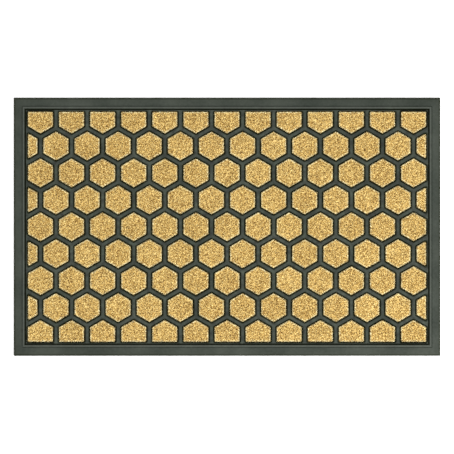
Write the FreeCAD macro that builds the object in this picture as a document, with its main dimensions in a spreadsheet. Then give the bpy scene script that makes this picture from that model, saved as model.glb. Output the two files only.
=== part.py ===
"""Door mat: a moulded rubber tray whose honeycomb of ribs holds hexagonal coir pads.

The tray is one moulding: a floor plate with grip studs underneath, a lattice of ribs, and a border.
Each pocket of the lattice holds a pad, which is a block of coir pile standing on its own backing.
The pads stand in columns that run along Y, and the pile and the backing of a column are a node each.
Units are millimetres. The origin is the middle of the mat on the ground, +X runs along the long side
and +Z is up.
"""

import FreeCAD, Part

import os

import Sketcher

DIMENSIONS = {
    # overall
    "mat_length": 760,
    "mat_width": 460,
    # honeycomb
    "cell_pitch": 55.3,
    "pad_flats": 44,
    "pad_corner_radius": 2,
    "pad_clearance": 0.5,
    "rib_top_width": 4.5,
    # heights above the ground
    "sole_height": 1.2,
    "floor_height": 3.8,
    "backing_height": 5.2,
    "rib_height": 9.2,
    "pile_height": 10.4,
    # border: heights above the ground
    "edge_height": 4.2,
    "crest_height": 7.7,
    "land_low_height": 8.2,
    "land_high_height": 8.8,
    "groove_height": 8.2,
    "bead_height": 10.4,
    "moat_height": 5.6,
    "kerb_height": 9,
    # border: distances in from the outer edge
    "crest_inset": 2.5,
    "land_inset": 4.8,
    "groove_inset": 14.8,
    "groove_foot_inset": 15.4,
    "bead_foot_inset": 16.2,
    "bead_inset": 16.7,
    "bead_end_inset": 19.8,
    "moat_inset": 20.3,
    "moat_end_inset": 21.9,
    "kerb_inset": 22.4,
    "kerb_end_inset": 23.2,
    "rim_inset": 22,
    "rim_top_inset": 22.8,
    # border: rounding
    "crest_radius": 2.5,
    "bead_radius": 1.5,
    # grip studs
    "stud_diameter": 7,
    "stud_draft": 20,
}
FULL_COLUMNS = 13
FULL_ROWS = 9
STUDS_PER_CELL = 2

doc = FreeCAD.newDocument("door_mat")


def make_sheet():
    """Puts the driving dimensions in a spreadsheet, where expressions read them as dims.NAME."""
    sheet = doc.addObject("Spreadsheet::Sheet", "dims")
    for row, (name, value) in enumerate(DIMENSIONS.items(), start=1):
        sheet.set(f"A{row}", name)
        sheet.set(f"B{row}", str(value))
        sheet.setAlias(f"B{row}", name)
    doc.recompute()


# Expressions that several features share.
ROW_PITCH = "(dims.cell_pitch * sqrt(3) / 2)"
POCKET_FLATS = "(dims.pad_flats + 2 * dims.pad_clearance)"
RIB_RISE = "(dims.rib_height - dims.floor_height)"
FLOOR_THICKNESS = "(dims.floor_height - dims.sole_height)"
HALF_LENGTH = "(dims.mat_length / 2)"
HALF_WIDTH = "(dims.mat_width / 2)"
# The pads end here along X and Y, where the outermost ones are cut straight.
PADS_END_X = f"({(FULL_COLUMNS - 1) / 2} * dims.cell_pitch + dims.pad_flats / 2)"
PADS_END_Y = f"({(FULL_ROWS - 1) / 2} * {ROW_PITCH} + dims.pad_flats / sqrt(3) / 2)"
POCKETS_INSET = f"({HALF_LENGTH} - {PADS_END_X} - dims.pad_clearance)"


def value_of(expression):
    """The number that an expression of the driving dimensions comes to."""
    return float(doc.dims.evalExpression(expression.replace("dims.", "")))


def origin_feature(body, role):
    return next(f for f in body.Origin.OriginFeatures if f.Role == role)


def new_sketch(body, name, height="0", plane="XY_Plane"):
    """Starts a sketch on one of the body's own planes, at a height above it."""
    sketch = body.newObject("Sketcher::SketchObject", name)
    sketch.AttachmentSupport = [(origin_feature(body, plane), "")]
    sketch.MapMode = "FlatFace"
    sketch.setExpression("AttachmentOffset.Base.z", height)
    return sketch


def pin_point(sketch, geometry, point, x, y):
    """Ties a point of the sketch to coordinates that are expressions."""
    origin, origin_point = -1, 1
    for kind, expression in (("DistanceX", x), ("DistanceY", y)):
        constraint = Sketcher.Constraint(
            kind, origin, origin_point, geometry, point, value_of(expression)
        )
        index = sketch.addConstraint(constraint)
        sketch.setExpression(f"Constraints[{index}]", expression)


def draw_polygon(sketch, corners):
    """Draws a closed outline. Each corner is a pair of expressions."""
    line_start, line_end = 1, 2
    points = [FreeCAD.Vector(value_of(x), value_of(y), 0) for x, y in corners]
    count = len(corners)
    for i in range(count):
        sketch.addGeometry(Part.LineSegment(points[i], points[(i + 1) % count]))
    for i, (x, y) in enumerate(corners):
        following = (i + 1) % count
        sketch.addConstraint(
            Sketcher.Constraint("Coincident", i, line_end, following, line_start)
        )
        pin_point(sketch, i, line_start, x, y)


def rectangle(half_length, half_width):
    return [
        (f"-{half_length}", "0"),
        (f"-{half_length}", f"-{half_width}"),
        (half_length, f"-{half_width}"),
        (half_length, half_width),
        (f"-{half_length}", half_width),
    ]


def hexagon(flats):
    """Corners of a hexagon that points along Y, from its distance across flats."""
    side, tip = f"({flats} / 2)", f"({flats} / sqrt(3))"
    return [
        ("0", tip),
        (f"-{side}", f"{tip} / 2"),
        (f"-{side}", f"-{tip} / 2"),
        ("0", f"-{tip}"),
        (side, f"-{tip} / 2"),
        (side, f"{tip} / 2"),
    ]


def extrude(body, kind, sketch, name, length, upward=True, taper="0"):
    """Adds a Pad or a Pocket of a sketch. With a taper, its walls spread as it goes."""
    feature = body.newObject(f"PartDesign::{kind}", name)
    feature.Profile = sketch
    feature.Reversed = upward == (kind == "Pocket")
    feature.setExpression("Length", length)
    feature.setExpression("TaperAngle", taper)
    body.Tip = feature
    doc.recompute()
    return feature


def repeat(body, feature, name, columns, rows, pitch_x, pitch_y):
    """Repeats a feature over a grid, starting at its own place."""
    steps = []
    for axis, count, pitch in (("X", columns, pitch_x), ("Y", rows, pitch_y)):
        step = doc.addObject("PartDesign::LinearPattern", f"{name}_along_{axis.lower()}")
        step.Direction = (origin_feature(body, f"{axis}_Axis"), [""])
        step.Occurrences = count
        step.setExpression("Length", f"{count - 1} * {pitch}")
        steps.append(step)
    grid = body.newObject("PartDesign::MultiTransform", name)
    grid.Originals = [feature]
    grid.Transformations = steps
    body.Tip = grid
    doc.recompute()


def place_first(sketch, columns, rows, pitch_x, pitch_y):
    """Moves a sketch to the first place of a grid that is centred on the mat."""
    sketch.setExpression("AttachmentOffset.Base.x", f"-{(columns - 1) / 2} * {pitch_x}")
    sketch.setExpression("AttachmentOffset.Base.y", f"-{(rows - 1) / 2} * {pitch_y}")


def add_floor(tray):
    """The plate that joins the whole tray, held off the ground by the rim and the studs."""
    inset = "dims.rim_inset"
    sketch = new_sketch(tray, "floor_outline", "dims.sole_height")
    draw_polygon(sketch, rectangle(f"({HALF_LENGTH} - {inset})", f"({HALF_WIDTH} - {inset})"))
    extrude(tray, "Pad", sketch, "floor_plate", FLOOR_THICKNESS)


def add_studs(tray):
    """Short round studs under the floor plate, level with the rim, wider where they join it."""
    columns = STUDS_PER_CELL * (FULL_COLUMNS - 1) + 1
    rows = STUDS_PER_CELL * (FULL_ROWS - 1) + 1
    pitch_x = f"(dims.cell_pitch / {STUDS_PER_CELL})"
    pitch_y = f"({ROW_PITCH} / {STUDS_PER_CELL})"
    sketch = new_sketch(tray, "stud_outline")
    place_first(sketch, columns, rows, pitch_x, pitch_y)
    centre = FreeCAD.Vector(0, 0, 0)
    circle = sketch.addGeometry(
        Part.Circle(centre, FreeCAD.Vector(0, 0, 1), value_of("dims.stud_diameter / 2"))
    )
    circle_centre = 3
    sketch.addConstraint(Sketcher.Constraint("Coincident", circle, circle_centre, -1, 1))
    index = sketch.addConstraint(
        Sketcher.Constraint("Diameter", circle, value_of("dims.stud_diameter"))
    )
    sketch.setExpression(f"Constraints[{index}]", "dims.stud_diameter")
    stud = extrude(tray, "Pad", sketch, "stud", "dims.sole_height", taper="dims.stud_draft")
    repeat(tray, stud, "studs", columns, rows, pitch_x, pitch_y)


def add_lattice(tray):
    """A slab as high as the ribs, cut by a pocket with spreading walls for every cell."""
    inset = "dims.kerb_end_inset"
    sketch = new_sketch(tray, "lattice_outline", "dims.floor_height")
    draw_polygon(sketch, rectangle(f"({HALF_LENGTH} - {inset})", f"({HALF_WIDTH} - {inset})"))
    extrude(tray, "Pad", sketch, "lattice_slab", RIB_RISE)
    spread = f"(dims.cell_pitch - dims.rib_top_width - {POCKET_FLATS}) / 2"
    draft = f"atan({spread} / {RIB_RISE})"
    # The odd rows of cells are one grid, and the even rows another, offset by half a cell.
    for name, columns, rows in (
        ("odd_cells", FULL_COLUMNS, FULL_ROWS // 2 + 1),
        ("even_cells", FULL_COLUMNS + 1, FULL_ROWS // 2),
    ):
        pitch_x, pitch_y = "dims.cell_pitch", f"(2 * {ROW_PITCH})"
        sketch = new_sketch(tray, f"{name}_outline", "dims.floor_height")
        place_first(sketch, columns, rows, pitch_x, pitch_y)
        draw_polygon(sketch, hexagon(POCKET_FLATS))
        pocket = extrude(tray, "Pocket", sketch, f"{name}_pocket", RIB_RISE, taper=draft)
        repeat(tray, pocket, name, columns, rows, pitch_x, pitch_y)


def add_border(tray):
    """The border, swept round the mat with mitred corners. It fills the cut cells' outer parts."""
    section = [
        # (distance in from the outer edge, height above the ground)
        ("0", "0"),
        ("0", "dims.edge_height"),
        ("dims.crest_inset", "dims.crest_height"),
        ("dims.land_inset", "dims.land_low_height"),
        ("dims.groove_inset", "dims.land_high_height"),
        ("dims.groove_foot_inset", "dims.groove_height"),
        ("dims.bead_foot_inset", "dims.groove_height"),
        ("dims.bead_inset", "dims.bead_height"),
        ("dims.bead_end_inset", "dims.bead_height"),
        ("dims.moat_inset", "dims.moat_height"),
        ("dims.moat_end_inset", "dims.moat_height"),
        ("dims.kerb_inset", "dims.kerb_height"),
        ("dims.kerb_end_inset", "dims.kerb_height"),
        (POCKETS_INSET, "dims.floor_height"),
        (POCKETS_INSET, "dims.sole_height"),
        ("dims.rim_top_inset", "dims.sole_height"),
        ("dims.rim_inset", "0"),
    ]
    profile = new_sketch(tray, "border_section", plane="XZ_Plane")
    draw_polygon(profile, [(f"{inset} - {HALF_LENGTH}", z) for inset, z in section])
    path = new_sketch(tray, "border_path")
    draw_polygon(path, rectangle(HALF_LENGTH, HALF_WIDTH))
    sweep = tray.newObject("PartDesign::AdditivePipe", "border")
    sweep.Profile = profile
    sweep.Spine = (path, [f"Edge{i + 1}" for i in range(path.GeometryCount)])
    sweep.Transition = "Right corner"
    tray.Tip = sweep
    doc.recompute()


def round_long_edges(tray, name, height, radius):
    """Rounds the edges at a height that run the length or the width of the mat."""
    base = tray.Tip
    level = value_of(height)
    shortest = value_of(HALF_WIDTH) / 2
    edges = [
        f"Edge{number}"
        for number, edge in enumerate(base.Shape.Edges, start=1)
        if edge.Length > shortest and all(abs(v.Z - level) < 1e-4 for v in edge.Vertexes)
    ]
    fillet = tray.newObject("PartDesign::Fillet", name)
    fillet.Base = (base, edges)
    fillet.setExpression("Radius", radius)
    tray.Tip = fillet
    doc.recompute()


def make_tray():
    tray = doc.addObject("PartDesign::Body", "rubber_tray")
    add_floor(tray)
    add_studs(tray)
    add_lattice(tray)
    add_border(tray)
    round_long_edges(tray, "crest", "dims.crest_height", "dims.crest_radius")
    round_long_edges(tray, "bead", "dims.bead_height", "dims.bead_radius")
    return tray


def make_column(label, x, rows, bottom, top):
    """One column of pads, as separate hexagonal blocks with worn corners.

    The blocks are cut straight where the column runs past the end of the pads. The column is built
    about X = 0 and moved to x.
    """
    prisms = []
    for row in range(rows):
        prism = doc.addObject("Part::Prism", f"{label}_block")
        prism.Polygon = 6
        prism.Placement.Rotation = FreeCAD.Rotation(FreeCAD.Vector(0, 0, 1), 30)
        prism.setExpression("Circumradius", "dims.pad_flats / sqrt(3)")
        prism.setExpression("Height", f"{top} - {bottom}")
        prism.setExpression("Placement.Base.y", f"{2 * row - (rows - 1)} * {ROW_PITCH}")
        prisms.append(prism)
    blocks = doc.addObject("Part::Compound", f"{label}_blocks")
    blocks.Links = prisms

    low_x = f"max(-dims.pad_flats / 2; -{PADS_END_X} - {x})"
    high_x = f"min(dims.pad_flats / 2; {PADS_END_X} - {x})"
    limits = doc.addObject("Part::Box", f"{label}_limits")
    limits.setExpression("Length", f"{high_x} - {low_x}")
    limits.setExpression("Width", f"2 * {PADS_END_Y}")
    limits.setExpression("Height", f"{top} - {bottom}")
    limits.setExpression("Placement.Base.x", low_x)
    limits.setExpression("Placement.Base.y", f"-{PADS_END_Y}")
    trimmed = doc.addObject("Part::Common", f"{label}_trimmed")
    trimmed.Base = blocks
    trimmed.Tool = limits
    doc.recompute()

    radius = value_of("dims.pad_corner_radius")
    column = doc.addObject("Part::Fillet", label)
    column.Base = trimmed
    column.Edges = [
        (number, radius, radius)
        for number, edge in enumerate(trimmed.Shape.Edges, start=1)
        if abs(edge.tangentAt(edge.FirstParameter).z) > 0.5
    ]
    column.setExpression("Placement.Base.x", x)
    column.setExpression("Placement.Base.z", bottom)
    column.Label = label
    return column


def make_pads():
    """Every column of pads, from the left: those of the odd rows and of the even rows alternate."""
    columns = []
    for index in range(2 * FULL_COLUMNS + 1):
        in_odd_rows = index % 2 == 1
        rows = FULL_ROWS // 2 + in_odd_rows
        x = f"({(index - FULL_COLUMNS) / 2} * dims.cell_pitch)"
        for name, bottom, top in (
            ("pad_backing", "dims.floor_height", "dims.backing_height"),
            ("coir_pile", "dims.backing_height", "dims.pile_height"),
        ):
            columns.append(make_column(f"{name}_column_{index + 1:02d}", x, rows, bottom, top))
    doc.recompute()
    return columns


def check(parts):
    """Stops if anything in the document failed, or a part isn't made of valid solids."""
    for item in doc.Objects:
        if {"Invalid", "Error"} & set(item.State):
            raise RuntimeError(f"{item.Label} failed: {item.State}")
    for part in parts:
        if part.Shape.isNull() or not part.Shape.isValid() or not part.Shape.Solids:
            raise RuntimeError(f"{part.Label} has no valid shape")


def export(parts):
    os.makedirs("parts", exist_ok=True)
    for part in parts:
        part.Shape.exportStep(f"parts/{part.Label}.step")


make_sheet()
parts = [make_tray(), *make_pads()]
check(parts)
export(parts)
pads = sum(len(part.Shape.Solids) for part in parts if part.Label.startswith("coir_pile"))
print(f"{len(parts)} nodes, {pads} pads")
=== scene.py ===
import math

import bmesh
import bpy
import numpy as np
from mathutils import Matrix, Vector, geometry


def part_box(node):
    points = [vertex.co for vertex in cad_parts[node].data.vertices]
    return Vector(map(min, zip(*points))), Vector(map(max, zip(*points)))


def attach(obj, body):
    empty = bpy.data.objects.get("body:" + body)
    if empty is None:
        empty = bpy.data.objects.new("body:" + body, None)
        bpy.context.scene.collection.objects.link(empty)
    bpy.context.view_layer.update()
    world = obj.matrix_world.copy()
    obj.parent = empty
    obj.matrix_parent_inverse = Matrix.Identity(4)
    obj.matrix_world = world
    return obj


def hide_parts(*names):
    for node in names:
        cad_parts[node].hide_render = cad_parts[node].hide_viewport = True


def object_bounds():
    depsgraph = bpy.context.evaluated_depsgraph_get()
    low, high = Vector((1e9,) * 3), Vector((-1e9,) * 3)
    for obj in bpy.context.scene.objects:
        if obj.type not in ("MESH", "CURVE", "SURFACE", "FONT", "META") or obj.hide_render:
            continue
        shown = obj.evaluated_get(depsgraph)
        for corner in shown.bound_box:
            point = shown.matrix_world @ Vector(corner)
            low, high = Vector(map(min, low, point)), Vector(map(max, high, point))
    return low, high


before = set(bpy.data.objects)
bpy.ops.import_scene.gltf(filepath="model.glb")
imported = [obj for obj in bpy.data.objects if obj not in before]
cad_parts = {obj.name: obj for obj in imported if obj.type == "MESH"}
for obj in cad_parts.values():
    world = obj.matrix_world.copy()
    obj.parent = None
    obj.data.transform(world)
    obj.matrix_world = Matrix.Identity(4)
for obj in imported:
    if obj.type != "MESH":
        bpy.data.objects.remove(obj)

# Door mat: a moulded rubber tray whose honeycomb of ribs holds 121 coir pads.
#
# The tray is one code-built mesh with rounded ribs, a beaded border and grip studs underneath.
# Each column of pads is two pieces: the dense block of the pile, and the loose fibres that stand
# out of it. The latex backings under the pile are the CAD nodes themselves.
# Lengths are in metres, and the mat lies in the XY plane with its middle at the origin.

cad_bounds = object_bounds()
MM = 0.001
TAU = 2 * math.pi
RANDOM = np.random.default_rng(7)

# ---------------------------------------------------------------- what the CAD parts say
COLUMNS = 27
HALF_LENGTH, HALF_WIDTH = cad_bounds[1].x, cad_bounds[1].y
WHOLE_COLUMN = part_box("coir_pile_column_02")
NEXT_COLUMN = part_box("coir_pile_column_04")
PITCH = NEXT_COLUMN[0].x - WHOLE_COLUMN[0].x
ROW_PITCH = PITCH * math.sqrt(3) / 2
PAD_REACH = (WHOLE_COLUMN[1].x - WHOLE_COLUMN[0].x) / 2  # from a pad's middle to its flats
# Where the pads end. Those of the first column are cut in line with the second's flats.
PADS_END_X, PADS_END_Y = -WHOLE_COLUMN[0].x, WHOLE_COLUMN[1].y
PILE_FOOT, PILE_TOP = WHOLE_COLUMN[0].z, WHOLE_COLUMN[1].z
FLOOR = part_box("pad_backing_column_02")[0].z

# ---------------------------------------------------------------- sizes of the tray's mesh
SOLE = 1.2 * MM  # underside of the floor plate
RIB_TOP = 9.2 * MM
RIB_HALF = 2.25 * MM  # from the middle of a rib to its top edge
PAD_CLEARANCE = 0.5 * MM  # between a pad and the foot of its pocket's wall
POCKET_INSET = PITCH / 2 - PAD_REACH - PAD_CLEARANCE  # from the middle of a rib to the pocket's floor
KERB_INSET = 22.8 * MM  # middle of the kerb that closes the honeycomb, from the mat's edge
KERB_HALF = 0.4 * MM  # from the middle of the kerb to its top edge
KERB_FOOT = 2.9 * MM  # from the middle of the kerb to the pocket's floor
POCKET_RADIUS = 3 * MM  # corners of a pocket, seen from above
SHOULDER_RADIUS = 0.9 * MM  # top edge of a rib
STUD_COLUMNS, STUD_ROWS, STUD_SIDES = 25, 17, 12
STUD_CELL_X, STUD_CELL_Y = PITCH / 2, ROW_PITCH / 2  # the piece of floor round each stud

# The border's section: (distance in from the mat's edge, height, corner radius), in millimetres.
BORDER_SECTION = [
    (22.8, 1.2, 0),
    (22.0, 0.0, 0.4),
    (0.0, 0.0, 0.6),
    (0.0, 4.2, 0.6),
    (2.5, 7.7, 2.6),
    (4.8, 8.2, 1.6),
    (14.8, 8.8, 0.5),
    (15.4, 8.2, 0.35),
    (16.2, 8.2, 0.35),
    (16.7, 10.4, 1.4),
    (19.8, 10.4, 1.4),
    (20.3, 5.6, 0.4),
    (21.9, 5.6, 0.4),
    (22.4, 9.1, 0.35),
    (22.8, 9.2, 0),
]
# A stud's section: (distance from its axis, height, corner radius), in millimetres.
STUD_SECTION = [(6.0, 1.2, 0), (3.94, 1.2, 0.4), (3.5, 0.0, 0.5), (1.5, 0.0, 0)]

# ---------------------------------------------------------------- the pile
PAD_RADIUS = 2 * MM  # corners of a pad, seen from above
CORE_TOP = PILE_TOP - 0.6 * MM  # top of the dense block, which the fibres stand out of
GRID = 0.85 * MM  # between the points of a block's top
SHAKE = 0.35  # how far a grid's points are moved at random, as a share of their spacing
BLOCK_RIM_INSET = 0.7 * MM  # from a pad's side to the edge of its block's top
BLOCK_GRID_INSET = BLOCK_RIM_INSET + 0.6 * GRID  # the grid stays clear of that edge
# A block's side, ring by ring: (distance in from the pad's side, drop below the edge of the top),
# in millimetres. The last ring is at the pile's foot.
BLOCK_SIDE = [(0.25, 0.35), (0, 1.1), (0, 2.3), (0, None)]
# The sides wave in and out about a mean inset, and closer together than the ruffles on top.
FLUTE_DEPTH, FLUTE_INSET, FLUTE_CLOSENESS = 0.18, 0.1, 1.7
# How far swells, ruffles, low tufts and high tufts sink or raise the top of the pile, in millimetres.
SWELL_RISE, RUFFLE_RISE, LOW_TUFT_RISE, HIGH_TUFT_RISE = 0.15, 0.25, 1.6, 0.3

FIBRE_GAP = 1.02 * MM  # between the fibres on top of a pad
EDGE_FIBRE_GAP = 0.5 * MM  # between the fibres round a pad
FIBRE_RADIUS = 0.17 * MM
FIBRE_TAPER = [1.0, 0.95, 0.7]  # at a fibre's foot, middle and tip
FIBRE_BEND = 0.07  # the spread of the bend at a fibre's middle, as a share of its length
TOP_FIBRE_INSET = 0.5 * MM  # the fibres on top keep this far from a pad's sides
TOP_FIBRE_LENGTHS = 2.2, 3.0  # millimetres
TOP_FIBRE_DEPTH = 1.2 * MM  # how far down in the block they start
CLUMP_LEAN, OWN_LEAN = 0.25, 0.22  # slopes: what a clump's fibres share, and the spread of their own
STRAY_HEIGHT = 0.5 * MM  # how far a tip on top may stand above the pile's even level
EDGE_FIBRE_DEPTHS = 2.0, 4.4  # from the pile's top down to the feet, in millimetres
EDGE_FIBRE_INSET = 0.35 * MM  # from a pad's side in to the feet

# The tone of the pile: its mean, and what tufts, patches, whole pads and the rim add to it. The rim's
# paler tone is a painted highlight.
MEAN_TONE, TUFT_TONE, PATCH_TONE, PAD_TONE, RIM_TONE = 0.465, 0.47, 0.38, 0.04, 0.23
SIDE_SHADE = 0.3  # how much darker in tone a block's sides are than its top: painted shade in the gaps round the pads
OWN_TONE = 0.1  # the spread in tone from one fibre to the next
RIM_WIDTH = 1.12 * MM  # a pad's paler rim, a painted highlight, from its sides in
RIM_FADE = 1.6 * MM  # the width over which the rim fades out
# Colours of coir, from brown husk to cream, and the tone that each belongs to.
PALETTE = [(0.095, 0.038, 0.006), (0.50, 0.310, 0.077), (0.80, 0.617, 0.238), (0.92, 0.78, 0.39)]
PALETTE_TONES = [0, 0.5, 0.95, 1.3]
SHADES = 12  # steps of the palette that the loose fibres come in
RIM_HIGHLIGHT_TINT = (0.88, 0.99, 1.38)  # what the colours are multiplied by round the rim of a pad, for a greyer rim that is part of its painted highlight

# ---------------------------------------------------------------- the studio
HORIZON_STRENGTH, ZENITH_STRENGTH = 1.05, 1.85
KEY_PLACE, KEY_SIZE, KEY_POWER = (1.0, -1.1, 1.05), 0.8, 27  # metres, metres and watts
FLOOR_HALF = 6  # from the floor's middle to its sides
SENSOR, LENS = 36, 110  # millimetres
CAMERA_RANGE = 100  # well past the floor
LENGTH_IN_FRAME = 0.9418  # the share of the frame's width that the mat's length fills
# The photograph's honeycomb sits 1 mm higher than its outline. The camera splits the difference.
CAMERA_Y = -0.4 * MM


def rounded(corners, steps):
    """A section given as (across, height, corner radius), with its corners turned into arcs."""
    points = [np.array(corners[0][:2])]
    for before, (across, height, radius), after in zip(corners, corners[1:], corners[2:]):
        here = np.array([across, height])
        back, ahead = np.array(before[:2]) - here, np.array(after[:2]) - here
        back, ahead = back / np.linalg.norm(back), ahead / np.linalg.norm(ahead)
        half = math.acos(np.clip(back @ ahead, -1, 1)) / 2
        middle = (back + ahead) / np.linalg.norm(back + ahead)
        centre = here + middle * radius / math.sin(half)
        start = here + back * radius / math.tan(half) - centre
        end = here + ahead * radius / math.tan(half) - centre
        for step in range(steps + 1):
            # Between the two radii, a direction sweeps evenly through the turn of the corner.
            share = step / steps
            turn = math.pi - 2 * half
            weight_start = math.sin((1 - share) * turn) / math.sin(turn)
            weight_end = math.sin(share * turn) / math.sin(turn)
            points.append(centre + start * weight_start + end * weight_end)
    points.append(np.array(corners[-1][:2]))
    return [(across * MM, height * MM) for across, height in points]


def cells():
    """Every cell of the honeycomb: its column from 1, and its centre."""
    for column in range(1, COLUMNS + 1):
        rows = 5 if column % 2 == 0 else 4
        for row in range(rows):
            x = (column - (COLUMNS + 1) / 2) * PITCH / 2
            yield column, (x, (2 * row - (rows - 1)) * ROW_PITCH)


def cell_sides(centre, reach, end_x, end_y):
    """The sides of a cell round its centre, as (direction, distance, whether it is an end cut).

    A cell is a hexagon that points along Y, cut straight where it would run past the end.
    """
    x, y = centre
    sides = {turn: (reach, False) for turn in range(0, 360, 60)}
    for direction, room, neighbours in (
        (0, end_x - x, (60, 300)),
        (90, end_y - y, (60, 120)),
        (180, end_x + x, (120, 240)),
        (270, end_y + y, (240, 300)),
    ):
        if room < PITCH / 2:
            sides[direction] = (min(room, reach), room < reach)
            if direction % 180 == 90 or room < 0:
                for neighbour in neighbours:
                    sides.pop(neighbour, None)
    return [(math.radians(turn), *sides[turn]) for turn in sorted(sides)]


def outline(sides, inset, cut_inset, radius, steps):
    """Points round a cell, moved in from its sides, and the directions that they face.

    Every corner is an arc of steps + 1 points, or a single point if steps is 0.
    """
    points, facing = [], []
    for (a, reach_a, cut_a), (b, reach_b, cut_b) in zip(sides, sides[1:] + sides[:1]):
        reach_a -= radius + (cut_inset if cut_a else inset)
        reach_b -= radius + (cut_inset if cut_b else inset)
        turn = (b - a) % TAU
        x = (reach_a * math.sin(b) - reach_b * math.sin(a)) / math.sin(turn)
        y = (reach_b * math.cos(a) - reach_a * math.cos(b)) / math.sin(turn)
        for step in range(steps + 1):
            angle = a + turn * step / max(steps, 1)
            facing.append((math.cos(angle), math.sin(angle)))
            points.append((x + radius * facing[-1][0], y + radius * facing[-1][1]))
    return np.array(points), np.array(facing)


def ride(piece):
    """Puts a finished piece on the mat's one body."""
    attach(piece, "root")


def new_object(name, mesh, materials):
    for material in materials:
        mesh.materials.append(material)
    piece = bpy.data.objects.new(name, mesh)
    bpy.context.scene.collection.objects.link(piece)
    return piece


# ---------------------------------------------------------------- the rubber tray
class Shell:
    """Points and faces of a mesh that is made strip by strip. Equal points are merged at the end."""

    def __init__(self):
        self.points, self.faces = [], []

    def loop(self, xy, height):
        """Adds points at one height, and returns their numbers."""
        first = len(self.points)
        self.points += [(x, y, height) for x, y in xy]
        return list(range(first, len(self.points)))

    def strip(self, outer, inner, flip=False):
        """Adds quads between two loops of equal length."""
        for i in range(len(outer)):
            j = (i + 1) % len(outer)
            self.face([outer[i], outer[j], inner[j], inner[i]], flip)

    def face(self, corners, flip=False):
        self.faces.append(corners[::-1] if flip else corners)

    def mesh(self, name):
        mesh = bpy.data.meshes.new(name)
        mesh.from_pydata(self.points, [], self.faces)
        shape = bmesh.new()
        shape.from_mesh(mesh)
        bmesh.ops.remove_doubles(shape, verts=shape.verts, dist=0.002 * MM)
        shape.to_mesh(mesh)
        shape.free()
        mesh.shade_smooth()
        return mesh


def round_the_mat(x, y, half_x, half_y):
    """How far round a rectangle a point on it lies, from 0 to 8, two for each side."""
    u, v = x / half_x, y / half_y
    if v <= -1 + 1e-6:
        return u + 1
    if u >= 1 - 1e-6:
        return v + 3
    if v >= 1 - 1e-6:
        return 5 - u
    return (7 - v) % 8


def add_pockets(shell):
    """Every cell's half of its ribs, its walls and its floor. Returns the corners on the kerb."""
    steps = 4
    end_x, end_y = HALF_LENGTH - KERB_INSET, HALF_WIDTH - KERB_INSET
    wall = POCKET_INSET - RIB_HALF
    section = rounded(
        [
            (0, RIB_TOP / MM, 0),
            (RIB_HALF / MM, RIB_TOP / MM, SHOULDER_RADIUS / MM),
            (POCKET_INSET / MM, FLOOR / MM, 0),
        ],
        steps=5,
    )[1:]
    on_kerb = []
    for _, centre in cells():
        sides = cell_sides(centre, PITCH / 2, end_x, end_y)
        corners = outline(sides, 0, 0, 0, 0)[0] + centre
        at_end = np.isclose(abs(corners), (end_x, end_y), rtol=0, atol=1e-7).any(axis=1)
        on_kerb += list(corners[at_end])
        loops = []
        for inset, height in section:
            share = (inset - RIB_HALF) / wall
            kerb_inset = KERB_HALF + share * (KERB_FOOT - KERB_HALF)
            xy = outline(sides, inset, kerb_inset, POCKET_RADIUS, steps)[0] + centre
            loops.append(shell.loop(xy, height))
        top = shell.loop(corners, RIB_TOP)
        count, middle = len(corners), steps // 2
        for i in range(count):
            j = (i + 1) % count
            here, there = i * (steps + 1), j * (steps + 1)
            edge = loops[0][there : there + middle + 1][::-1]
            edge += loops[0][here + middle : here + steps + 1][::-1]
            shell.face([top[i], top[j], *edge])
        for outer, inner in zip(loops, loops[1:]):
            shell.strip(outer, inner)
        shell.face(loops[-1])
    return on_kerb


def stud_field():
    """Half the size of the rectangle of studs, and the points round it that the border starts from."""
    half_x, half_y = STUD_COLUMNS * STUD_CELL_X / 2, STUD_ROWS * STUD_CELL_Y / 2
    per_side = STUD_SIDES // 4
    across, up = STUD_COLUMNS * per_side, STUD_ROWS * per_side
    points = [(-half_x + 2 * half_x * i / across, -half_y) for i in range(across)]
    points += [(half_x, -half_y + 2 * half_y * i / up) for i in range(up)]
    points += [(-x, -y) for x, y in points]
    return half_x, half_y, points


def add_studs(shell):
    """The underside of the floor, as a rectangle of it round each stud."""
    section = rounded(STUD_SECTION, steps=2)
    per_side = STUD_SIDES // 4
    half_x, half_y = STUD_CELL_X / 2, STUD_CELL_Y / 2
    edge = [(-half_x + STUD_CELL_X * i / per_side, -half_y) for i in range(per_side)]
    edge += [(half_x, -half_y + STUD_CELL_Y * i / per_side) for i in range(per_side)]
    edge = np.array(edge + [(-x, -y) for x, y in edge])
    # The circle's points start at the same corner as the rectangle's.
    angles = TAU * (np.arange(STUD_SIDES) / STUD_SIDES - 3 / 8)
    circle = np.stack([np.cos(angles), np.sin(angles)], axis=1)
    for i in range(STUD_COLUMNS):
        for j in range(STUD_ROWS):
            across, up = i - (STUD_COLUMNS - 1) / 2, j - (STUD_ROWS - 1) / 2
            middle = (across * STUD_CELL_X, up * STUD_CELL_Y)
            loops = [shell.loop(edge + middle, SOLE)]
            loops += [shell.loop(circle * radius + middle, height) for radius, height in section]
            for outer, inner in zip(loops, loops[1:]):
                shell.strip(outer, inner, flip=True)
            shell.face(loops[-1], flip=True)


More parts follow.
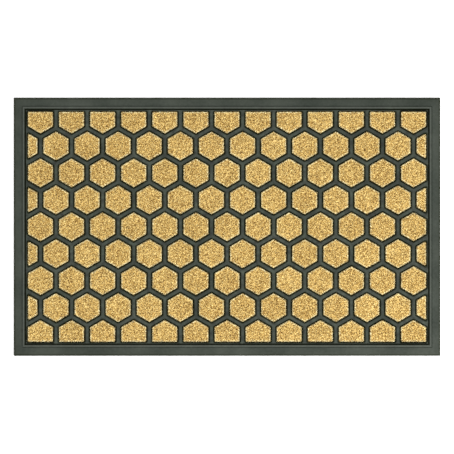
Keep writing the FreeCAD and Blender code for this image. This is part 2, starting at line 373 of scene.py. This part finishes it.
def add_border(shell, on_kerb):
    """The border from the underside of the floor, round the mat's edge, to the kerb."""
    half_x, half_y, base = stud_field()
    loops = [shell.loop(base, SOLE)]
    section = rounded(BORDER_SECTION, steps=5)
    for inset, height in section[:-1]:
        grow_x, grow_y = (HALF_LENGTH - inset) / half_x, (HALF_WIDTH - inset) / half_y
        loops.append(shell.loop([(x * grow_x, y * grow_y) for x, y in base], height))
    for outer, inner in zip(loops, loops[1:]):
        shell.strip(outer, inner)
    # The last strip meets the kerb, which has points only where ribs reach it.
    end_x, end_y = HALF_LENGTH - KERB_INSET, HALF_WIDTH - KERB_INSET
    stops = sorted({round(round_the_mat(x, y, end_x, end_y), 6): (x, y) for x, y in on_kerb}.items())
    kerb = shell.loop([point for _, point in stops], RIB_TOP)
    places = [round_the_mat(x, y, half_x, half_y) for x, y in base]
    last = loops[-1]
    for i in range(len(stops)):
        j = (i + 1) % len(stops)
        start, end = stops[i][0], stops[j][0] if j else 8
        between = [last[k] for k, place in enumerate(places) if start - 1e-5 <= place < end - 1e-5]
        after = next((last[k] for k, place in enumerate(places) if place >= end - 1e-5), last[0])
        shell.face([*between, after, kerb[j], kerb[i]])


def make_tray():
    shell = Shell()
    on_kerb = add_pockets(shell)
    add_studs(shell)
    add_border(shell, on_kerb)
    tray = new_object("moulded_rubber_tray", shell.mesh("moulded_rubber_tray"), [rubber()])
    mark_mitres(tray.data)
    flat = tray.modifiers.new("flat_faces_stay_flat", "WEIGHTED_NORMAL")
    flat.keep_sharp = True
    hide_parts("rubber_tray")
    ride(tray)


def mark_mitres(mesh):
    """Keeps the border's mitred corners crisp: the edges that run diagonally through them."""
    points = np.empty(len(mesh.vertices) * 3)
    mesh.vertices.foreach_get("co", points)
    points = points.reshape(-1, 3)
    ends = np.empty(len(mesh.edges) * 2, int)
    mesh.edges.foreach_get("vertices", ends)
    ends = ends.reshape(-1, 2)
    # Along a mitre both ends lie as far from the mat's long edge as from its short one.
    inset = np.stack([HALF_LENGTH - abs(points[:, 0]), HALF_WIDTH - abs(points[:, 1])], axis=1)
    on_mitre = (abs(inset[:, 0] - inset[:, 1]) < 0.01 * MM) & (inset[:, 0] < KERB_INSET)
    sharp = on_mitre[ends[:, 0]] & on_mitre[ends[:, 1]]
    attribute = mesh.attributes.new("sharp_edge", "BOOLEAN", "EDGE")
    attribute.data.foreach_set("value", sharp)


# ---------------------------------------------------------------- the coir pile
class Field:
    """Random numbers from -1 to 1 over the mat, which change over about one cell.

    They change smoothly, or, if patchy, in irregular patches.
    """

    def __init__(self, cell, patchy=False):
        self.cell, self.patchy = cell, patchy
        size = (int(2 * HALF_LENGTH / cell) + 4, int(2 * HALF_WIDTH / cell) + 4)
        self.table = RANDOM.uniform(-1, 1, size)
        if patchy:
            self.bend = Field(cell * 1.3), Field(cell * 1.3)

    def __call__(self, x, y):
        u, v = (x + HALF_LENGTH) / self.cell + 1, (y + HALF_WIDTH) / self.cell + 1
        if self.patchy:
            # The nearest corner's number, looked up from a bent place, gives irregular edges.
            u, v = u + self.bend[0](x, y) * 0.4, v + self.bend[1](x, y) * 0.4
            return self.value(np.rint(u), np.rint(v))
        i, j = np.floor(u), np.floor(v)
        s, t = u - i, v - j
        s, t = s * s * (3 - 2 * s), t * t * (3 - 2 * t)
        low = self.value(i, j) * (1 - s) + self.value(i + 1, j) * s
        high = self.value(i, j + 1) * (1 - s) + self.value(i + 1, j + 1) * s
        return low * (1 - t) + high * t

    def value(self, i, j):
        """The number at a corner of the grid, which repeats beyond its edge."""
        columns, rows = self.table.shape
        return self.table[i.astype(int) % columns, j.astype(int) % rows]


SWELL = Field(14 * MM)
TUFT = Field(0.75 * MM, patchy=True)
RUFFLE = Field(1.2 * MM)
LEAN = Field(1.8 * MM, patchy=True), Field(1.8 * MM, patchy=True)
PATCH = Field(0.8 * MM, patchy=True)
SHADE_OF_PAD = Field(PITCH * 0.8)


def pile_rise(x, y):
    """How far the top of the pile stands above its even level, or sinks between two tufts."""
    tuft = TUFT(x, y)
    tuft_rise = np.where(tuft < 0, LOW_TUFT_RISE, HIGH_TUFT_RISE) * tuft
    return (SWELL_RISE * SWELL(x, y) + RUFFLE_RISE * RUFFLE(x, y) + tuft_rise) * MM


def pile_tone(x, y, centre):
    """The tone of the pile at points on a pad, and how far each is in the rim, from 0 to 1."""
    depth = depth_in_pad(np.column_stack([x, y]) - centre, centre)
    rim = np.clip((RIM_WIDTH + RIM_FADE - depth) / RIM_FADE, 0, 1)
    # A tuft's tone goes with its rise: sunken tufts are darker and raised ones paler. This is partly
    # painted shade in the pile's hollows and partly tone that differs at random.
    tone = MEAN_TONE + TUFT_TONE * TUFT(x, y) + PATCH_TONE * PATCH(x, y)
    # The rim is paler: a painted highlight.
    return tone + PAD_TONE * SHADE_OF_PAD(x, y) + RIM_TONE * rim, rim


def pad_edge(centre, spacing):
    """Points round a pad, evenly spaced, and the directions that they face."""
    sides = cell_sides(centre, PAD_REACH, PADS_END_X, PADS_END_Y)
    corners, facing = outline(sides, 0, 0, PAD_RADIUS, 4)
    points, normals = [], []
    for i in range(len(corners)):
        j = (i + 1) % len(corners)
        count = max(1, round(np.linalg.norm(corners[j] - corners[i]) / spacing))
        share = np.arange(count)[:, None] / count
        points.append(corners[i] * (1 - share) + corners[j] * share)
        normals.append(facing[i] * (1 - share) + facing[j] * share)
    return np.concatenate(points), np.concatenate(normals)


def depth_in_pad(points, centre):
    """How far inside a pad's nearest side each point is, for points round the pad's centre."""
    sides = cell_sides(centre, PAD_REACH, PADS_END_X, PADS_END_Y)
    depths = [reach - points @ (math.cos(angle), math.sin(angle)) for angle, reach, _ in sides]
    return np.min(depths, axis=0)


def scatter(centre, gap, inset):
    """Points spread over a pad on a shaken triangular grid, round the pad's centre."""
    count = int(PITCH / gap) + 2
    i, j = np.meshgrid(np.arange(-count, count), np.arange(-count, count))
    points = np.stack([(i + j % 2 / 2) * gap, j * gap * math.sqrt(3) / 2], axis=-1).reshape(-1, 2)
    points = points + RANDOM.uniform(-SHAKE, SHAKE, points.shape) * gap
    return points[depth_in_pad(points, centre) > inset]


def pad_block(centre):
    """The dense part of one pad: a closed block with a clumpy top and fluted sides.

    Returns its points, each face's tone, how far each face is in the rim, and the faces.
    """
    edge, facing = pad_edge(centre, GRID)
    inner = scatter(centre, GRID, BLOCK_GRID_INSET)
    rim = edge - facing * BLOCK_RIM_INSET
    count = len(rim)
    flat = [Vector(p) for p in np.concatenate([rim, inner])]
    top, _, triangles, *_ = geometry.delaunay_2d_cdt(flat, [], [list(range(count))], 1, 1e-7)
    top = np.array([tuple(p) for p in top]) + centre
    height = CORE_TOP + pile_rise(top[:, 0], top[:, 1])
    points = [np.column_stack([top, height])]
    tone, rim_share = pile_tone(*top[np.array(triangles)].mean(axis=1).T, centre)
    tones, rim_shares = [tone], [rim_share]
    # The block's sides are painted darker: painted shade in the gaps round the pads.
    side_tone = pile_tone(*top[:count].T, centre)[0] - SIDE_SHADE
    faces = [list(t) for t in triangles]
    ring = list(range(count))
    total = len(top)
    for inset, drop in BLOCK_SIDE:
        xy = edge + centre
        flute = FLUTE_DEPTH * RUFFLE(*xy.T * FLUTE_CLOSENESS) + FLUTE_INSET
        xy = xy - facing * ((inset + flute) * MM)[:, None]
        below = np.full(count, PILE_FOOT) if drop is None else height[:count] - drop * MM
        points.append(np.column_stack([xy, below]))
        tones.append(side_tone)
        rim_shares.append(np.ones(count))
        lower = list(range(total, total + count))
        total += count
        for a in range(count):
            b = (a + 1) % count
            faces.append([lower[a], lower[b], ring[b], ring[a]])
        ring = lower
    faces.append(ring[::-1])
    # The underside is a single face.
    tones.append([0])
    rim_shares.append([1])
    return np.concatenate(points), np.concatenate(tones), np.concatenate(rim_shares), faces


def make_blocks(column, centres, material):
    """The dense part of every pad in a column."""
    points, tones, rims, faces = [], [], [], []
    for centre in centres:
        first = sum(len(p) for p in points)
        pad_points, pad_tones, pad_rims, pad_faces = pad_block(centre)
        points.append(pad_points)
        tones.append(pad_tones)
        rims.append(pad_rims)
        faces += [[first + corner for corner in face] for face in pad_faces]
    mesh = bpy.data.meshes.new(f"coir_block_column_{column:02d}")
    mesh.from_pydata(np.concatenate(points).tolist(), [], faces)
    mesh.attributes.new("tone", "FLOAT", "FACE").data.foreach_set("value", np.concatenate(tones))
    mesh.attributes.new("rim", "FLOAT", "FACE").data.foreach_set("value", np.concatenate(rims))
    mesh.shade_smooth()
    blocks = new_object(mesh.name, mesh, [material])
    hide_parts(f"coir_pile_column_{column:02d}")
    ride(blocks)


def top_fibres(centre):
    """Roots and tips of the cut fibres on top of a pad. Neighbours in a clump lean alike."""
    root = scatter(centre, FIBRE_GAP, TOP_FIBRE_INSET) + centre
    x, y = root.T
    count = len(root)
    rise = pile_rise(x, y)
    lean = np.stack([LEAN[0](x, y), LEAN[1](x, y)], axis=1) * CLUMP_LEAN
    lean += RANDOM.normal(0, OWN_LEAN, (count, 2))
    length = RANDOM.uniform(*TOP_FIBRE_LENGTHS, count) * MM
    foot = np.column_stack([root, CORE_TOP + rise - TOP_FIBRE_DEPTH])
    tip = foot + np.column_stack([lean * length[:, None], length])
    # The tips are cut to a height that follows most of the pile's rise and fall.
    tip[:, 2] = np.minimum(tip[:, 2], PILE_TOP + STRAY_HEIGHT + rise * 0.7)
    return foot, tip


def side_fibres(centre):
    """Roots and tips of the fibres round a pad, which splay outwards a little."""
    edge, facing = pad_edge(centre, EDGE_FIBRE_GAP)
    count = len(edge)
    edge = edge + RANDOM.normal(0, 0.12 * MM, edge.shape)
    depth = RANDOM.uniform(*EDGE_FIBRE_DEPTHS, count) * MM
    foot = np.column_stack([edge + centre - facing * EDGE_FIBRE_INSET, PILE_TOP - depth])
    splay = np.abs(RANDOM.normal(0.1, 0.25, count)) * MM
    along = np.stack([-facing[:, 1], facing[:, 0]], axis=1) * RANDOM.normal(0, 0.6 * MM, count)[:, None]
    reach = RANDOM.normal(-0.1, 0.4, count) * MM
    tip = np.column_stack([edge + centre + facing * splay[:, None] + along, PILE_TOP + reach])
    return foot, tip


def fibre_points(foot, tip):
    """Three rings of three points for each fibre, which bends a little in the middle."""
    count = len(foot)
    axis = tip - foot
    length = np.linalg.norm(axis, axis=1, keepdims=True)
    axis = axis / length
    across = np.cross(axis, RANDOM.normal(0, 1, (count, 3)))
    across /= np.linalg.norm(across, axis=1, keepdims=True)
    other = np.cross(axis, across)
    middle = (foot + tip) / 2 + across * length * RANDOM.normal(0, FIBRE_BEND, (count, 1))
    radius = FIBRE_RADIUS * RANDOM.uniform(0.7, 1.35, (count, 1, 1))
    centres = np.stack([foot, middle, tip], axis=1)
    angles = TAU * np.arange(3) / 3
    ring = np.cos(angles)[None, :, None] * across[:, None] + np.sin(angles)[None, :, None] * other[:, None]
    taper = np.array(FIBRE_TAPER)[None, :, None, None]
    return centres[:, :, None] + ring[:, None] * radius[:, None] * taper


def fibre_triangles():
    """The triangles of one fibre's three rings of three points: its sides, its tip and its foot."""
    triangles = []
    for ring in (0, 3):
        for a, b in ((0, 1), (1, 2), (2, 0)):
            triangles += [(ring + a, ring + b, ring + 3 + b), (ring + a, ring + 3 + b, ring + 3 + a)]
    return np.array([*triangles, (6, 7, 8), (2, 1, 0)])


def make_fibres(column, centres, shades):
    """Every loose fibre in a column, each in one of the shades."""
    feet, tips, tones, rims = [], [], [], []
    for centre in centres:
        for foot, tip in (top_fibres(centre), side_fibres(centre)):
            feet.append(foot)
            tips.append(tip)
            tone, rim = pile_tone(foot[:, 0], foot[:, 1], centre)
            tones.append(tone)
            rims.append(rim)
    foot, tip, tone = np.concatenate(feet), np.concatenate(tips), np.concatenate(tones)
    count = len(foot)
    points = fibre_points(foot, tip).reshape(-1, 3)
    triangles = fibre_triangles()
    first = np.arange(count)[:, None] * (len(points) // count)
    corners = (first + triangles.ravel()).ravel()
    mesh = bpy.data.meshes.new(f"coir_fibres_column_{column:02d}")
    mesh.vertices.add(len(points))
    mesh.vertices.foreach_set("co", points.ravel())
    mesh.loops.add(len(corners))
    mesh.loops.foreach_set("vertex_index", corners)
    mesh.polygons.add(count * len(triangles))
    mesh.polygons.foreach_set("loop_start", np.arange(0, len(corners), 3))
    tone += RANDOM.normal(0, OWN_TONE, count)
    shade = np.clip(np.rint(tone / PALETTE_TONES[-1] * (SHADES - 1)), 0, SHADES - 1).astype(int)
    # The shades with the rim's painted highlight come after the plain ones.
    shade += SHADES * (np.concatenate(rims) > 0.5)
    mesh.update()
    mesh.validate()
    fibres = new_object(mesh.name, mesh, shades)
    mesh.polygons.foreach_set("material_index", np.repeat(shade, len(triangles)))
    mesh.shade_smooth()
    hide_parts(f"coir_pile_column_{column:02d}")
    ride(fibres)


def make_pads():
    columns = {}
    for column, centre in cells():
        columns.setdefault(column, []).append(centre)
    block_material = coir()
    # The edge fibres' shades carry the rim's painted highlight.
    shades = fibre_shades("coir_fibre", (1, 1, 1)) + fibre_shades("coir_edge_fibre", RIM_HIGHLIGHT_TINT)
    for column, centres in columns.items():
        make_blocks(column, centres, block_material)
        make_fibres(column, centres, shades)


# ---------------------------------------------------------------- materials
class Nodes:
    """A new material's node tree, with its Principled shader and a few short ways to add nodes."""

    def __init__(self, name):
        self.material = bpy.data.materials.new(name)
        self.material.use_nodes = True
        self.tree = self.material.node_tree
        self.shader = self.tree.nodes["Principled BSDF"]
        self.place = self.tree.nodes.new("ShaderNodeTexCoord").outputs["Object"]

    def link(self, output, socket):
        self.tree.links.new(output, socket)

    def feed(self, socket, value):
        """Gives a socket a number, a colour or another node's output."""
        if isinstance(value, bpy.types.NodeSocket):
            self.link(value, socket)
        else:
            socket.default_value = value

    def add(self, kind, inputs, **settings):
        """Adds a node. Each input is what feed() takes."""
        node = self.tree.nodes.new(f"ShaderNode{kind}")
        for name, value in settings.items():
            setattr(node, name, value)
        for name, value in inputs.items():
            self.feed(node.inputs[name], value)
        return node

    def noise(self, scale, detail=2.0, roughness=0.5):
        inputs = {"Vector": self.place, "Scale": scale, "Detail": detail, "Roughness": roughness}
        return self.add("TexNoise", inputs).outputs["Fac"]

    def fit(self, value, low, high, to_low=0.0, to_high=1.0):
        """Stretches a value between two limits."""
        inputs = {"Value": value, "From Min": low, "From Max": high, "To Min": to_low, "To Max": to_high}
        return self.add("MapRange", inputs).outputs["Result"]

    def mix(self, share, first, second, blend="MIX"):
        node = self.add("Mix", {}, data_type="RGBA", blend_type=blend)
        # A Mix node has sockets for every type of data. These are the factor and the two colours.
        for number, value in ((0, share), (6, first), (7, second)):
            self.feed(node.inputs[number], value)
        return node.outputs[2]

    def math(self, operation, first, second):
        node = self.add("Math", {}, operation=operation)
        for socket, value in zip(node.inputs, (first, second)):
            self.feed(socket, value)
        return node.outputs[0]

    def bump(self, height, distance, strength):
        node = self.add("Bump", {"Height": height, "Distance": distance, "Strength": strength})
        self.link(node.outputs["Normal"], self.shader.inputs["Normal"])

    def height(self):
        return self.add("SeparateXYZ", {"Vector": self.place}).outputs["Z"]


def rubber():
    """Matte moulded rubber, greenish dark grey and dustier in broad patches.

    It is uneven on the ribs and the bead, paler on the bead's top, which is a painted highlight,
    and darker lower down, in the gaps and round the mat's edge, which is painted shade; it is also duller
    there.
    """
    nodes = Nodes("moulded_rubber")
    body, dusty = (0.009, 0.014, 0.008, 1), (0.025, 0.031, 0.022, 1)
    # The dark colour is painted shade for the low parts, the gaps and the mat's edge; the pale one is a
    # painted highlight on the bead's top.
    painted_shade, bead_highlight = (0.011, 0.0115, 0.0015, 1), (0.042, 0.048, 0.038, 1)
    speck = (0.05, 0.057, 0.045, 1)
    patches = nodes.fit(nodes.noise(16, 4, 0.6), 0.35, 0.7)
    colour = nodes.mix(patches, body, dusty)
    specks = nodes.fit(nodes.noise(900, 3, 0.7), 0.62, 0.75, 0, 0.5)
    colour = nodes.mix(specks, colour, speck)
    height = nodes.height()
    raised = nodes.fit(height, 8.9 * MM, 9.1 * MM)
    uneven = nodes.fit(nodes.noise(120, 3, 0.6), 0.3, 0.7, 0.3, 1.7)
    colour = nodes.mix(raised, colour, uneven, "MULTIPLY")
    # Painted shade: darker lower down, in the gaps and round the mat's edge.
    low = nodes.fit(height, 4.5 * MM, 8.6 * MM, 0.85, 0)
    colour = nodes.mix(low, colour, painted_shade)
    # Painted highlight: paler on the bead's top.
    on_bead = nodes.fit(height, 9.4 * MM, 10.4 * MM, 0, 0.7)
    colour = nodes.mix(on_bead, colour, bead_highlight)
    nodes.link(colour, nodes.shader.inputs["Base Color"])
    roughness = nodes.fit(nodes.noise(260, 3), 0.3, 0.7, 0.6, 0.8)
    nodes.link(roughness, nodes.shader.inputs["Roughness"])
    shine = nodes.fit(height, 7.2 * MM, 8.2 * MM, 0.04, 0.34)
    nodes.link(shine, nodes.shader.inputs["Specular IOR Level"])
    grain = nodes.math("ADD", nodes.noise(2200, 2, 0.6), nodes.math("MULTIPLY", nodes.noise(300, 2), 1.5))
    nodes.bump(grain, 0.1 * MM, 0.8)
    return nodes.material


def coir():
    """The dense body of the pile: cut fibre ends, each a little darker or paler than its tuft.

    The blocks' meshes say what tone each face has, and how far it is in the paler rim, which is a painted
    highlight.
    """
    nodes = Nodes("coir_pile")
    ends = nodes.add("TexVoronoi", {"Vector": nodes.place, "Scale": 1900.0})
    shade = nodes.add("SeparateColor", {"Color": ends.outputs["Color"]}).outputs["Red"]
    tone = nodes.add("Attribute", {}, attribute_name="tone").outputs["Fac"]
    tone = nodes.math("ADD", tone, nodes.fit(shade, 0, 1, -0.25, 0.2))
    ramp = nodes.add("ValToRGB", {"Fac": nodes.math("DIVIDE", tone, PALETTE_TONES[-1])})
    stops = ramp.color_ramp.elements
    for tone_of_stop in PALETTE_TONES[1:-1]:
        stops.new(tone_of_stop / PALETTE_TONES[-1])
    for stop, colour in zip(stops, PALETTE):
        stop.color = (*colour, 1)
    # The rim's painted highlight: its colours are multiplied by a greyer tint.
    rim = nodes.add("Attribute", {}, attribute_name="rim").outputs["Fac"]
    colour = nodes.mix(rim, ramp.outputs["Color"], (*RIM_HIGHLIGHT_TINT, 1), "MULTIPLY")
    nodes.link(colour, nodes.shader.inputs["Base Color"])
    nodes.shader.inputs["Roughness"].default_value = 0.85
    nodes.shader.inputs["Specular IOR Level"].default_value = 0.2
    nodes.bump(ends.outputs["Distance"], 0.25 * MM, 0.6)
    return nodes.material


def fibre_shades(name, tint):
    """Materials for loose fibre, each of one plain colour: the palette's, multiplied by a tint."""
    shades = []
    for number, tone in enumerate(np.linspace(0, PALETTE_TONES[-1], SHADES)):
        colour = [np.interp(tone, PALETTE_TONES, channel) for channel in zip(*PALETTE)] * np.array(tint)
        material = bpy.data.materials.new(f"{name}_{number + 1:02d}")
        material.use_nodes = True
        shader = material.node_tree.nodes["Principled BSDF"]
        shader.inputs["Base Color"].default_value = (*colour, 1)
        shader.inputs["Roughness"].default_value = 0.6
        shader.inputs["Specular IOR Level"].default_value = 0.3
        shades.append(material)
    return shades


def latex():
    """The latex-bonded sheet under the pile: dull tan with matted fibre in it."""
    nodes = Nodes("latex_backing")
    sheet, fibre = (0.10, 0.06, 0.025, 1), (0.34, 0.23, 0.10, 1)
    matting = nodes.noise(900, 4, 0.7)
    colour = nodes.mix(nodes.fit(matting, 0.35, 0.7), sheet, fibre)
    nodes.link(colour, nodes.shader.inputs["Base Color"])
    nodes.shader.inputs["Roughness"].default_value = 0.8
    nodes.bump(matting, 0.2 * MM, 0.5)
    return nodes.material


def dress_backings():
    """Gives the CAD's own backing nodes their material."""
    material = latex()
    for column in range(1, COLUMNS + 1):
        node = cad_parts[f"pad_backing_column_{column:02d}"]
        for slot in node.material_slots:
            slot.material = material


# ---------------------------------------------------------------- stage
def make_floor():
    mesh = bpy.data.meshes.new("floor")
    corners = [(x * FLOOR_HALF, y * FLOOR_HALF, 0) for x, y in ((-1, -1), (1, -1), (1, 1), (-1, 1))]
    mesh.from_pydata(corners, [], [(0, 1, 2, 3)])
    nodes = Nodes("pale_floor")
    nodes.shader.inputs["Base Color"].default_value = (0.9, 0.9, 0.9, 1)
    nodes.shader.inputs["Roughness"].default_value = 0.9
    nodes.shader.inputs["Specular IOR Level"].default_value = 0.1
    new_object("floor", mesh, [nodes.material])


def make_key_light():
    """A square soft box that faces the middle of the mat."""
    light = bpy.data.lights.new("key", "AREA")
    light.size, light.energy = KEY_SIZE, KEY_POWER
    lamp = bpy.data.objects.new("key", light)
    lamp.location = KEY_PLACE
    lamp.rotation_euler = (-Vector(KEY_PLACE)).to_track_quat("-Z", "Y").to_euler()
    bpy.context.scene.collection.objects.link(lamp)


def make_dome():
    """A white studio dome, brightest overhead and dimmer towards the horizon."""
    world = bpy.data.worlds.new("studio")
    world.use_nodes = True
    tree = world.node_tree
    background = tree.nodes["Background"]
    background.inputs["Color"].default_value = (1, 1, 1, 1)
    direction = tree.nodes.new("ShaderNodeTexCoord").outputs["Generated"]
    axes = tree.nodes.new("ShaderNodeSeparateXYZ")
    strength = tree.nodes.new("ShaderNodeMapRange")
    strength.inputs["To Min"].default_value = HORIZON_STRENGTH
    strength.inputs["To Max"].default_value = ZENITH_STRENGTH
    tree.links.new(direction, axes.inputs["Vector"])
    tree.links.new(axes.outputs["Z"], strength.inputs["Value"])
    tree.links.new(strength.outputs["Result"], background.inputs["Strength"])
    bpy.context.scene.world = world


def make_studio():
    make_dome()
    make_key_light()
    bpy.context.scene.view_settings.view_transform = "Standard"


def make_camera():
    """Straight above the mat, far enough off for its length to fill its share of the frame."""
    camera = bpy.data.cameras.new("camera")
    camera.sensor_width, camera.lens = SENSOR, LENS
    seen = 2 * HALF_LENGTH / LENGTH_IN_FRAME
    viewer = bpy.data.objects.new("camera", camera)
    viewer.location = (0, CAMERA_Y, PILE_TOP + seen * LENS / SENSOR)
    camera.clip_end = CAMERA_RANGE
    bpy.context.scene.collection.objects.link(viewer)
    bpy.context.scene.camera = viewer


make_camera()
make_studio()
make_floor()
make_tray()
make_pads()
dress_backings()
